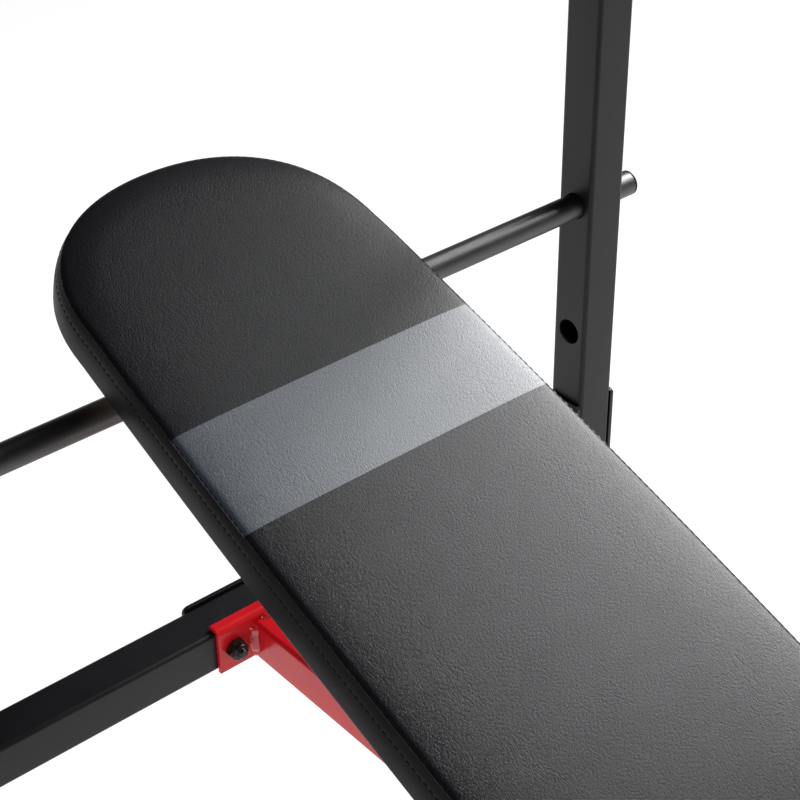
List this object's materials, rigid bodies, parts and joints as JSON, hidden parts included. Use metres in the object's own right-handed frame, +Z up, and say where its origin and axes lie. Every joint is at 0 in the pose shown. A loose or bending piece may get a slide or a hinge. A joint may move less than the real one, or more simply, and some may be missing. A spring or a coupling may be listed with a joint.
{
  "type": "olympic bench press",
  "caption": "Barbell bench with an inclined backrest on a round support bar, a fixed seat, and two uprights with height-adjustable bar catches.",
  "frame": {"origin": "on the floor, under the middle of the bench's bounding box", "axes": "+X across the bench, to the right of a person who stands at the seat and faces the uprights; +Y from the seat towards the head end; +Z up"},
  "size_m": [0.8896, 1.2928, 1.0863],
  "materials": {
    "black_frame": "satin",
    "red_frame": "gloss",
    "pad_cover": "satin",
    "pad_foam": "matte",
    "pad_board": "matte",
    "black_plastic": "satin",
    "black_zinc": "satin"
  },
  "bodies": {
    "frame": {"clamp_boss_left": "black_frame", "clamp_boss_right": "black_frame", "cross_end_plate_left": "black_frame", "cross_end_plate_right": "black_frame", "cross_tube": "black_frame", "foot_cap_left_front": "black_plastic", "foot_cap_left_rear": "black_plastic", "foot_cap_right_front": "black_plastic", "foot_cap_right_rear": "black_plastic", "frame_bolt_left": "black_zinc", "frame_bolt_right": "black_zinc", "frame_bracket": "red_frame", "frame_nut_left": "black_zinc", "frame_nut_right": "black_zinc", "front_foot": "black_frame", "front_foot_cap_left": "black_plastic", "front_foot_cap_right": "black_plastic", "front_leg": "black_frame", "main_tube": "red_frame", "main_tube_plug": "black_plastic", "outer_plate_left": "black_frame", "outer_plate_right": "black_frame", "pivot_bolt": "black_zinc", "pivot_bracket": "red_frame", "pivot_nut": "black_zinc", "rear_plate": "black_frame", "seat_board": "pad_board", "seat_bracket_front": "black_frame", "seat_bracket_rear": "black_frame", "seat_cover": "pad_cover", "seat_foam": "pad_foam", "side_bolt_left_lower": "black_zinc", "side_bolt_left_upper": "black_zinc", "side_bolt_right_lower": "black_zinc", "side_bolt_right_upper": "black_zinc", "side_foot_left": "black_frame", "side_foot_right": "black_frame", "side_nut_left_lower": "black_zinc", "side_nut_left_upper": "black_zinc", "side_nut_right_lower": "black_zinc", "side_nut_right_upper": "black_zinc", "upright_collar_left": "black_plastic", "upright_collar_right": "black_plastic", "upright_left": "black_frame", "upright_right": "black_frame"},
    "backrest": {"backrest_board": "pad_board", "backrest_brace": "black_frame", "backrest_cover": "pad_cover", "backrest_foam": "pad_foam", "backrest_rail_left": "black_frame", "backrest_rail_right": "black_frame"},
    "support_bar": {"support_bar": "black_frame", "support_bar_plug_left": "black_plastic", "support_bar_plug_right": "black_plastic"},
    "catch_left": {"bar_catch_left": "black_frame", "catch_post_left": "black_frame"},
    "catch_right": {"bar_catch_right": "black_frame", "catch_post_right": "black_frame"},
    "knob_left": {"clamp_knob_left": "black_plastic"},
    "knob_right": {"clamp_knob_right": "black_plastic"}
  },
  "joints": [
    {"name": "backrest_pivot", "type": "hinge", "parent": "frame", "child": "backrest", "pos_m": [0, -0.3024, 0.3855], "axis": [1, 0, 0], "range_deg": [0, 18]},
    {"name": "support_bar_slide", "type": "slide", "parent": "frame", "child": "support_bar", "axis": [1, 0, 0], "range_m": [0, 0.86]},
    {"name": "catch_height_left", "type": "slide", "parent": "frame", "child": "catch_left", "axis": [0, 0, 1], "range_m": [0, 0.15]},
    {"name": "knob_turn_left", "type": "hinge", "parent": "frame", "child": "knob_left", "pos_m": [-0.43, 0.3934, 0.846], "axis": [-1, 0, 0], "range_deg": [0, 720]},
    {"name": "catch_height_right", "type": "slide", "parent": "frame", "child": "catch_right", "axis": [0, 0, 1], "range_m": [0, 0.15]},
    {"name": "knob_turn_right", "type": "hinge", "parent": "frame", "child": "knob_right", "pos_m": [0.43, 0.3934, 0.846], "axis": [1, 0, 0], "range_deg": [0, 720]}
  ]
}
